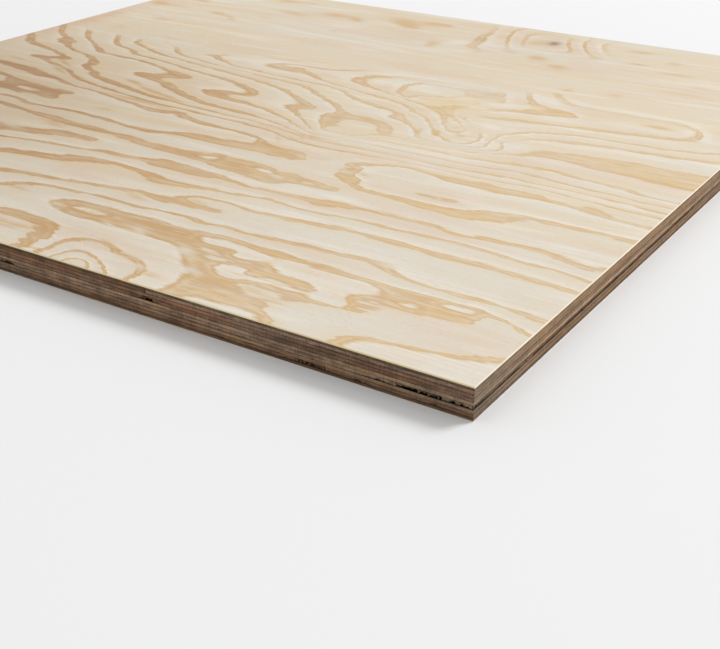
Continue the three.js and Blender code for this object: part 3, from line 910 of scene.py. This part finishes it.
class VeneerLook(bpy.types.PropertyGroup):
    """Sizes and colours of the veneers' surfaces."""
    face_pitch: length_property(
        "Face Grid", "Distance between the points that carry the face's figure", 2.15 * MM,
        least=1.5 * MM)
    back_pitch: length_property(
        "Back Grid", "Distance between the points that carry the back's figure", 3.4 * MM,
        least=1.5 * MM)
    edge_pitch: length_property(
        "Edge Columns", "Longest column along a sawn edge", 0.7 * MM, least=0.5 * MM)
    arris: length_property(
        "Arris", "Width of the flat sanded on the outer corners", 0.5 * MM, least=0.1 * MM)
    saw_depth: length_property("Saw Marks", "How deep the saw has torn the end grain", 0.22 * MM)
    torn_depth: length_property("Torn Fibres", "How far torn end grain is drawn back", 2.4 * MM)
    split_fill: length_property(
        "Split Fill", "How far loose fibres fill the splits in the long-grain edges", 0.9 * MM)
    loose_fill: length_property(
        "Loose Fill", "How far loose fibres fill the deepest gap in the front edge", 6 * MM)
    glue_groove: length_property("Glue Groove", "How far the edge draws back at a glue line", 0.14 * MM)
    glue_width: length_property("Glue Line", "Width of the dark line where two veneers meet", 0.35 * MM)
    glue_wander: length_property("Glue Wander", "How far a glue line strays up and down", 0.5 * MM)
    grain_depth: length_property(
        "Grain Depth", "How far the latewood stands out of the sanded face", 0.06 * MM)
    line_wander: length_property("Line Wander", "How far the fibres shift a growth line", 1.8 * MM)
    earlywood: colour_property("Earlywood", "Pale wood between the growth lines", "d7d2c8")
    earlywood_warm: colour_property("Warm Earlywood", "The warmer streaks of the pale wood", "d9ccb6")
    fresh_wood: colour_property("Fresh Wood", "The palest wood, at the start of each ring", "e5e1d9")
    # The heartwood tint also paints the shade that darkens the left of the face.
    heartwood: colour_property(
        "Heartwood", "Tint of the darker wood towards the heart of the log", "ded5c7")
    reddened: colour_property("Reddened Wood", "Pale wood with a reddish cast", "d3b49d")
    halo: colour_property("Halo", "The yellowish wood that leads up to the latewood", "dcc697")
    band: colour_property("Latewood", "Dense wood at the end of each ring", "d6b57c")
    band_brown: colour_property(
        "Brown Latewood", "Dense wood at the end of each ring in the heartwood", "ac855c")
    blotch: colour_property(
        "Blotch", "Patches and strokes of latewood that the cut has only grazed", "cda978")
    rim: colour_property("Latewood Rim", "The last, darkest cells of each ring", "b98b58")
    # The arris colours are sanded pale wood and partly a painted highlight, whiter on the left and right
    # corners where the light catches them.
    front_arris: colour_property(
        "Front Arris", "Sanded wood on the face's front and back corners", "e6d3a6")
    right_arris: colour_property(
        "Right Arris", "Sanded wood on the face's left and right corners", "eae1d1")
    edge_dark_umber: colour_property(
        "Edge Dark Umber", "The darkest sawn wood, along the front of the back veneer", "5c442a")
    edge_umber: colour_property("Edge Umber", "Sawn wood darkened by glue and dirt", "644a30")
    edge_brown: colour_property("Edge Brown", "End grain of the darker crossbands", "72543e")
    edge_russet: colour_property("Edge Russet", "Reddish long grain under the top crossband", "80583e")
    edge_fawn: colour_property("Edge Fawn", "Sawn wood of two crossbands and a core veneer", "886a4c")
    edge_grey_brown: colour_property("Edge Grey Brown", "Greyish end grain of two crossbands", "8a705c")
    edge_tan: colour_property("Edge Tan", "Clean sawn wood from the top crossband to the middle", "967656")
    edge_sand: colour_property("Edge Sand", "End grain of the face veneer", "a48464")
    edge_pale: colour_property("Edge Pale", "End grain of the centre veneer", "b09070")
    weathered: colour_property(
        "Weathered Edge", "Grey of the sawn edges where they have weathered", "75695a")
    stain: colour_property("Stain", "Yellow stain beside the knots", "dcc491")
    knot: colour_property("Knot", "Heart of a knot", "94745b")


class StudioLook(bpy.types.PropertyGroup):
    """The floor, the light and the camera."""
    floor_colour: colour_property("Floor", "Colour of the floor", "e7e7e7")
    floor_size: length_property("Floor Size", "Length of each side of the floor", 12.0)
    window_power: FloatProperty(
        name="Window Light", description="Power of the large soft light behind the sheet",
        default=318.0, unit="POWER")
    window_size: length_property("Window Size", "Length of each side of the large soft light", 2.4)
    sky_strength: FloatProperty(
        name="Room Light", description="Strength of the even light from all round",
        default=0.72)
    lens: FloatProperty(
        name="Lens", description="Focal length of the camera",
        default=60.77 * MM, unit="CAMERA")


# ---- The sawn edges ----

# The tone of each veneer's sawn edge: along the front and the back, then along the left and the right,
# where the fibres run the other way and the tones are mostly lighter.
EDGE_TONES = {
    "face_veneer": ("umber", "sand"),
    "crossband_1_left": ("umber", "tan"),
    "crossband_1_right": ("grey_brown", "tan"),
    "core_veneer_1": ("russet", "tan"),
    "crossband_2": ("brown", "fawn"),
    "centre_veneer": ("tan", "pale"),
    "crossband_3": ("grey_brown", "umber"),
    "core_veneer_2": ("fawn", "fawn"),
    "crossband_4": ("brown", "fawn"),
    "back_veneer": ("dark_umber", "umber"),
}
FRONT_UNEVEN, RIGHT_UNEVEN = 0.48, 0.26  # how mottled those edges are, and how dark their glue lines

# Where the saw has torn out end grain, as soft patches in mm. Torn walls are drawn back raggedly.
TORN = {
    "crossband_2": [(133, -312, 7, 6, 0, 0.6), (-84, 312, 16, 8, 0, 0.7)],
    "crossband_3": [(319, -312, 12, 6, 0, 1.0), (28, -312, 9, 6, 0, 0.6), (276, -312, 7, 6, 0, 0.4),
                    (204, 312, 10, 8, 0, 0.7)],
    "crossband_4": [(238, -312, 15, 6, 0, 0.8), (266, -312, 4, 6, 0, 0.9), (308, -312, 6, 6, 0, 0.6),
                    (180, -312, 6, 6, 0, 0.6)],
}

# How far in the loose fibres of the front edge's gaps start, and how far the deepest gap reaches.
KEPT_OPEN, DEEPEST_GAP = 0.9 * MM, 7 * MM
FILLED_LEFT_OF, LEFT_OPEN = 60 * MM, 0.3 * KEPT_OPEN  # left of here, they start less far in

# A gap this near to an end of the sheet is a split in a long-grain edge. Loose fibres fill it least
# halfway up.
SPLIT_WITHIN, SPLIT_LEAST = 3 * MM, 0.45

# Shares of the full depths: the tear inside a gap, and the saw marks on long grain.
GAP_TORN, LONG_GRAIN_SAWN = 0.2, 0.45

# The torn fibres are a comb: how wide its teeth are, how the noise becomes a tear, and the least of
# the full tear that even the fibres left standing have.
TOOTH, TEAR_MIDDLE, TEAR_SWING, LEAST_TORN = 1.5 * MM, 0.45, 2.2, 0.4

SOILED, SOILED_REACH = 0.6, 90 * MM  # how grey the right edge is at its front corner, and how far

WALL_ROWS = 3  # rows of faces down an outer veneer's wall, and cuts across an inner veneer's
UPRIGHT, LEVEL = 0.6, 0.95  # the most that a wall's normal points up, and the least a sanded face's

# Faces that meet at less than the first angle are shaded smooth. At less than the second they are
# merged as flat.
SMOOTH_BELOW, FLAT_WITHIN = math.radians(35), math.radians(0.05)

# The veneers whose grain runs from left to right.
X_LAID = {"face_veneer", "core_veneer_1", "centre_veneer", "core_veneer_2", "back_veneer"}

# The torn fibres left standing in the gaps: x, y of the middle, length, width, and height as a share
# of the veneer's thickness, in mm.
STUBS = {
    "crossband_2": [(131.4, -310.4, 3.4, 0.9, 0.3), (135.4, -310.3, 3.6, 0.8, 0.75)],
    "crossband_3": [(288.0, -309.8, 4.6, 0.9, 0.7), (298.6, -309.0, 6.0, 0.9, 0.35),
                    (301.4, -309.2, 5.8, 0.8, 0.55), (303.9, -308.9, 6.2, 1.0, 0.4),
                    (306.1, -309.3, 5.6, 0.7, 0.6), (308.9, -309.8, 4.6, 1.0, 0.35),
                    (26.0, -310.6, 3.0, 0.9, 0.4), (30.5, -310.7, 2.8, 1.1, 0.6)],
    "crossband_4": [(231.8, -311.0, 2.6, 1.2, 0.35), (234.2, -311.1, 2.6, 1.3, 0.6),
                    (236.9, -311.0, 2.6, 1.0, 0.4), (241.6, -311.1, 2.4, 0.8, 0.3),
                    (245.2, -311.2, 2.2, 1.1, 0.5)],
}
STUB_SIDES, STUB_STRETCH = 7, 1.5  # sides of a torn fibre, and how much higher than wide it is
STUB_LEAN, STUB_ROLL = 88, 12  # degrees that it is laid over and, at most, rolled


def on_outline(places):
    """Which of these places lie on the outer edge of the sheet, and which of those on its ends."""
    ends = np.abs(places[:, 0]) > HALF_LENGTH - NEAR
    sides = np.abs(places[:, 1]) > HALF_WIDTH - NEAR
    return ends | sides, ends


def comb(places):
    """Ragged teeth along the edges, the same at every height: 0 is left standing and 1 torn out."""
    waves = [noise.noise(Vector((x, y, 0.0)) / TOOTH) for x, y, _ in places]
    return np.clip(TEAR_MIDDLE + TEAR_SWING * np.array(waves), LEAST_TORN, 1)


def edge_weights(places, node, look):
    """How strongly each kind of roughness takes hold at the vertices of a veneer, from 0 to 1."""
    low, high = heights_of(node)
    middle = SHEET_HIGH.z / 2
    x, y, z = places.T
    outline, ends = on_outline(places)
    in_gap = (node not in ("face_veneer", "back_veneer")) & ~outline
    split = in_gap & (np.abs(x) > HALF_LENGTH - SPLIT_WITHIN)
    arris = np.abs(np.abs(z - middle) - middle) < look.arris + NEAR
    walls = (outline | in_gap) & ~arris
    is_end_grain = ends if node in X_LAID else ~ends

    kept_open = np.where(x < FILLED_LEFT_OF, LEFT_OPEN, KEPT_OPEN)
    filled = (y + HALF_WIDTH - kept_open) / (DEEPEST_GAP - kept_open)
    loose = np.where(in_gap & ~split & (y < 0), filled, 0.0)
    level = np.abs((z - low) / (high - low) - 0.5) * 2
    rows = (np.abs(z - low) < NEAR) | (np.abs(z - high) < NEAR)
    inner_rows = rows & (z > SHEET_LOW.z + NEAR) & (z < SHEET_HIGH.z - NEAR)
    torn = patches(places[:, :2] / MM, TORN.get(node, [])) * comb(places)
    torn += GAP_TORN * (in_gap & ~split)
    return {
        "loose": np.clip(loose, 0, 1).round(2),
        "split": np.where(split, SPLIT_LEAST + (1 - SPLIT_LEAST) * level, 0.0).round(2),
        "glue_rows": (inner_rows & outline).astype(float),
        "sawn": np.where(walls, np.where(is_end_grain | in_gap, 1.0, LONG_GRAIN_SAWN), 0.0),
        "torn": np.where(walls, np.clip(torn, 0, 1).round(2), 0.0),
    }


def saw(piece, node, look):
    """Tears and grooves the edge of a veneer, before its top and its bottom are closed."""
    for name, weights in edge_weights(vectors(piece.data.vertices, "co"), node, look).items():
        vertex_group(piece, name, weights)
    for name, group, grain, depth, direction, middle in (
            ("glue_wander", "glue_rows", 30 * MM, look.glue_wander, "Z", 0.5),
            ("glue_groove", "glue_rows", 5 * MM, -2 * look.glue_groove, "NORMAL", 0.0),
            ("saw_marks", "sawn", 2 * MM, -look.saw_depth, "NORMAL", 0.0),
            ("split_fibres", "split", 9 * MM, look.split_fill, "NORMAL", -0.3),
            ("loose_fibres", "loose", 2.5 * MM, -look.loose_fill, "Y", -0.4),
            ("torn_fibres", "torn", 4 * MM, -look.torn_depth, "NORMAL", 0.0)):
        roughen(piece, name, group, grain, depth, direction, middle)


def divide_edges(piece, pitch):
    """Halves the level edges of the walls until none is longer than the pitch."""
    while select_edges(piece, lambda edge: is_level(edge) and edge.calc_length() > pitch):
        bpy.ops.mesh.subdivide(number_cuts=1)


def close_ends(piece):
    """Fills the open ends of the walls."""
    select_edges(piece, lambda edge: edge.is_boundary)
    bpy.ops.mesh.fill(use_beauty=False)
    bpy.ops.mesh.select_all(action="SELECT")
    bpy.ops.mesh.normals_make_consistent(inside=False)


def dress_walls(piece, node, first, look):
    """Gives the upright faces the materials of the front and of the right edge, from slot first."""
    front, right = (getattr(look, f"edge_{tone}") for tone in EDGE_TONES[node])
    along_x = node in X_LAID
    for side, colour, end_grain, uneven, soiled in (
            ("front", front, not along_x, FRONT_UNEVEN, 0.0),
            ("right", right, along_x, RIGHT_UNEVEN, SOILED)):
        edge = sawn_edge(node, side, colour, end_grain, uneven, soiled, look)
        piece.data.materials.append(edge)
    normals = np.abs(vectors(piece.data.polygons, "normal"))
    to_front = normals[:, 1] > normals[:, 0]
    middle = SHEET_HIGH.z / 2
    heights = vectors(piece.data.polygons, "center")[:, 2]
    hidden = np.abs(heights - middle) < middle - look.arris
    slots = np.where(hidden, first, 0)
    slots = np.where(normals[:, 2] < UPRIGHT, np.where(to_front, first, first + 1), slots)
    if node == "face_veneer":
        # The arris materials are pale partly as a painted highlight.
        for side, colour in (("front", look.front_arris), ("right", look.right_arris)):
            piece.data.materials.append(eased_edge(f"{side}_arris", colour, look))
        arris = ~hidden & (normals[:, 2] < LEVEL)
        slots = np.where(arris, np.where(to_front, first + 2, first + 3), slots)
    piece.data.polygons.foreach_set("material_index", slots.astype(np.int32))


def add_stubs(node):
    """Adds the torn fibres left standing in a veneer's gaps, each a blunt cone along the grain."""
    low, high = heights_of(node)
    for x, y, length, width, height in STUBS.get(node, []):
        middle = low + height * (high - low)
        bpy.ops.mesh.primitive_cone_add(
            vertices=STUB_SIDES, radius1=width * MM / 2, radius2=width * MM / 3, depth=length * MM,
            location=(x * MM, y * MM, middle),
            rotation=(math.radians(STUB_LEAN), math.radians(STUB_ROLL * math.sin(x)), 0.0))
        bpy.ops.transform.resize(value=(1, 1, STUB_STRETCH), center_override=(0, 0, middle))


def finish_piece(piece, node):
    """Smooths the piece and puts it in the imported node's place."""
    pick(piece)
    bpy.ops.object.shade_smooth_by_angle(angle=SMOOTH_BELOW)
    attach(piece, "root")
    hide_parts(node)


def inner_veneer(node, name, look):
    """An inner veneer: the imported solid's outline, divided into columns, torn and closed again."""
    piece = start_piece(name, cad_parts[node].data.copy())
    piece.data.materials.clear()
    bpy.ops.mesh.customdata_custom_splitnormals_clear()
    bpy.ops.object.mode_set(mode="EDIT")
    bpy.ops.mesh.select_all(action="SELECT")
    bpy.ops.mesh.remove_doubles(threshold=NEAR / 10)
    bpy.ops.mesh.dissolve_limited(angle_limit=FLAT_WITHIN)
    select_faces(piece, lambda face: abs(face.normal.z) > LEVEL)
    bpy.ops.mesh.delete(type="ONLY_FACE")
    divide_edges(piece, look.edge_pitch)
    select_edges(piece, lambda edge: not is_level(edge))
    bpy.ops.mesh.subdivide(number_cuts=WALL_ROWS)
    bpy.ops.object.mode_set(mode="OBJECT")
    saw(piece, node, look)
    bpy.ops.object.mode_set(mode="EDIT")
    close_ends(piece)
    add_stubs(node)
    bpy.ops.object.mode_set(mode="OBJECT")
    dress_walls(piece, node, 0, look)
    finish_piece(piece, node)


def outer_veneer(node, name, pitch, look):
    """The face, or the back before it is turned over: a fine grid with an eased arris and walls."""
    low, high = heights_of(node)
    length, width = 2 * HALF_LENGTH, 2 * HALF_WIDTH
    inner = (length - 2 * look.arris, width - 2 * look.arris)
    bpy.ops.object.select_all(action="DESELECT")
    bpy.ops.mesh.primitive_grid_add(
        x_subdivisions=round(length / pitch), y_subdivisions=round(width / pitch), size=1)
    piece = bpy.context.object
    piece.name = name
    piece.data.name = name
    bpy.ops.object.mode_set(mode="EDIT")
    bpy.ops.transform.resize(value=(*inner, 1), center_override=(0, 0, 0))
    bpy.ops.mesh.region_to_loop()
    rows = [(look.arris, length / inner[0], width / inner[1])]
    rows += [((high - low - look.arris) / WALL_ROWS, 1, 1)] * WALL_ROWS
    for down, out_x, out_y in rows:
        bpy.ops.mesh.extrude_edges_move(TRANSFORM_OT_translate={"value": (0, 0, -down)})
        bpy.ops.transform.resize(value=(out_x, out_y, 1), center_override=(0, 0, 0))
    bpy.ops.object.mode_set(mode="OBJECT")
    return piece


def close_outer(piece, node, look):
    """Saws an outer veneer where it now lies and closes it. Gives its places on the sheet in mm."""
    settle(piece)
    saw(piece, node, look)
    bpy.ops.object.mode_set(mode="EDIT")
    close_ends(piece)
    bpy.ops.object.mode_set(mode="OBJECT")
    return vectors(piece.data.vertices, "co")[:, :2] / MM


def finish_outer(piece, node, places, marks, figure, look):
    """Keeps an outer veneer's marks in its mesh, and gives it its materials."""
    for name, spots in marks.items():
        store(piece, name, patches(places, spots))
    piece.data.materials.append(sanded_figure(figure, look))
    dress_walls(piece, node, 1, look)
    finish_piece(piece, node)


class MESH_OT_face_veneer(bpy.types.Operator):
    """Makes the sanded face veneer with its figure, marks and knot"""
    bl_idname = "mesh.plywood_face_veneer"
    bl_label = "Face Veneer"

    def execute(self, context):
        look = context.scene.veneer_look
        piece = outer_veneer("face_veneer", "sanded_face_veneer", look.face_pitch, look)
        bpy.ops.transform.translate(value=(0, 0, SHEET_HIGH.z))
        places = close_outer(piece, "face_veneer", look)
        store_rings(piece, ring_heights(places, FACE_LINES, FACE_SPOTS))
        store(piece, "latewood_share", FACE_LATEWOOD + patches(places, WIDE_LATEWOOD))
        store(piece, "line_strength", line_strengths(places))
        finish_outer(piece, "face_veneer", places, FACE_MARKS, "sanded_face", look)
        return {"FINISHED"}


class MESH_OT_back_veneer(bpy.types.Operator):
    """Makes the back veneer with a plainer figure and its knots"""
    bl_idname = "mesh.plywood_back_veneer"
    bl_label = "Back Veneer"

    def execute(self, context):
        look = context.scene.veneer_look
        piece = outer_veneer("back_veneer", "sanded_back_veneer", look.back_pitch, look)
        bpy.ops.transform.rotate(value=math.pi, orient_axis="X", center_override=(0, 0, 0))
        places = close_outer(piece, "back_veneer", look)
        store_rings(piece, back_ring_heights(places))
        store(piece, "latewood_share", np.full(len(places), BACK_LATEWOOD))
        store(piece, "line_strength", np.full(len(places), BACK_STRENGTH))
        finish_outer(piece, "back_veneer", places, BACK_MARKS, "sanded_back", look)
        return {"FINISHED"}


class MESH_OT_crossbands(bpy.types.Operator):
    """Makes the crossbands, whose grain runs from front to back"""
    bl_idname = "mesh.plywood_crossbands"
    bl_label = "Crossbands"

    def execute(self, context):
        for node in EDGE_TONES:
            if node.startswith("crossband"):
                inner_veneer(node, f"sawn_{node}", context.scene.veneer_look)
        return {"FINISHED"}


class MESH_OT_core_veneers(bpy.types.Operator):
    """Makes the core veneers, whose grain runs from left to right"""
    bl_idname = "mesh.plywood_core_veneers"
    bl_label = "Core Veneers"

    def execute(self, context):
        for node in ("core_veneer_1", "centre_veneer", "core_veneer_2"):
            inner_veneer(node, f"sawn_{node}", context.scene.veneer_look)
        return {"FINISHED"}


# ---- The studio ----

CAMERA_PLACE = Vector((0.5386, -0.7342, 0.2885))
CAMERA_AIM = Vector((0.2510, -0.2882, 0.0180))
WINDOW_PLACE = Vector((3.2, 4.3, 5.0))
WINDOW_AIM = Vector((0.0, 0.0, 0.0))
FLOOR_GAP = 0.05 * MM  # keeps the floor's face clear of the back veneer's


def facing(start, end):
    """The turn that points a camera's or a lamp's own -Z from start to end."""
    return (end - start).to_track_quat("-Z", "Y").to_euler()


class SCENE_OT_studio(bpy.types.Operator):
    """Sets the floor, the lights, the view transform and the camera"""
    bl_idname = "scene.plywood_studio"
    bl_label = "Studio"

    def execute(self, context):
        look = context.scene.studio_look
        self.lay_floor(context, look)
        self.light(context, look)
        camera = bpy.data.cameras.new("camera")
        camera.lens = look.lens / MM
        camera.clip_start = 0.01
        standing = bpy.data.objects.new("camera", camera)
        standing.location = CAMERA_PLACE
        standing.rotation_euler = facing(CAMERA_PLACE, CAMERA_AIM)
        context.scene.collection.objects.link(standing)
        context.scene.camera = standing
        context.scene.view_settings.view_transform = "Standard"
        return {"FINISHED"}

    def lay_floor(self, context, look):
        """A level floor just under the sheet."""
        bpy.ops.object.select_all(action="DESELECT")
        bpy.ops.mesh.primitive_plane_add(size=look.floor_size, location=(0, 0, -FLOOR_GAP))
        floor = context.object
        floor.name = "studio_floor"
        settle(floor)
        material, tree, shader, place = new_material("studio_floor")
        cloud = add_node(tree, "ShaderNodeTexNoise", {"Vector": place, "Scale": 3.0})
        tone = ramp(tree, cloud.outputs["Fac"], 0.2, 0.8, 0.9, 0.8)
        tree.links.new(tone, shader.inputs["Roughness"])
        shader.inputs["Base Color"].default_value = look.floor_colour
        shader.inputs["Specular IOR Level"].default_value = 0.2
        floor.data.materials.append(material)

    def light(self, context, look):
        """A large soft light behind the sheet, and an even one from all round."""
        window = bpy.data.lights.new("window", "AREA")
        window.energy = look.window_power
        window.size = look.window_size
        hanging = bpy.data.objects.new("window", window)
        hanging.location = WINDOW_PLACE
        hanging.rotation_euler = facing(WINDOW_PLACE, WINDOW_AIM)
        context.scene.collection.objects.link(hanging)
        world = bpy.data.worlds.new("studio_room")
        world.use_nodes = True
        sky = world.node_tree.nodes["Background"]
        sky.inputs["Color"].default_value = (1, 1, 1, 1)
        sky.inputs["Strength"].default_value = look.sky_strength
        context.scene.world = world


class VIEW3D_PT_plywood(bpy.types.Panel):
    """The sheet's pieces, and what can be changed about them"""
    bl_label = "Plywood Sheet"
    bl_idname = "VIEW3D_PT_plywood"
    bl_space_type = "VIEW_3D"
    bl_region_type = "UI"
    bl_category = "Plywood"

    def draw(self, context):
        for look in (context.scene.veneer_look, context.scene.studio_look):
            column = self.layout.column(align=True)
            for name in look.__annotations__:
                column.prop(look, name)
        column = self.layout.column(align=True)
        for operator in OPERATORS:
            column.operator(operator.bl_idname)


OPERATORS = (MESH_OT_face_veneer, MESH_OT_crossbands, MESH_OT_core_veneers, MESH_OT_back_veneer,
             SCENE_OT_studio)
CLASSES = (VeneerLook, StudioLook, *OPERATORS, VIEW3D_PT_plywood)


def register():
    for cls in CLASSES:
        bpy.utils.register_class(cls)
    bpy.types.Scene.veneer_look = PointerProperty(type=VeneerLook)
    bpy.types.Scene.studio_look = PointerProperty(type=StudioLook)


def unregister():
    del bpy.types.Scene.studio_look
    del bpy.types.Scene.veneer_look
    for cls in reversed(CLASSES):
        bpy.utils.unregister_class(cls)


def main():
    register()
    make_fibres_group()
    make_rings_group()
    make_contours_group()
    make_glue_group()
    bpy.ops.mesh.plywood_face_veneer()
    bpy.ops.mesh.plywood_crossbands()
    bpy.ops.mesh.plywood_core_veneers()
    bpy.ops.mesh.plywood_back_veneer()
    bpy.ops.scene.plywood_studio()


if __name__ == "__main__":
    main()
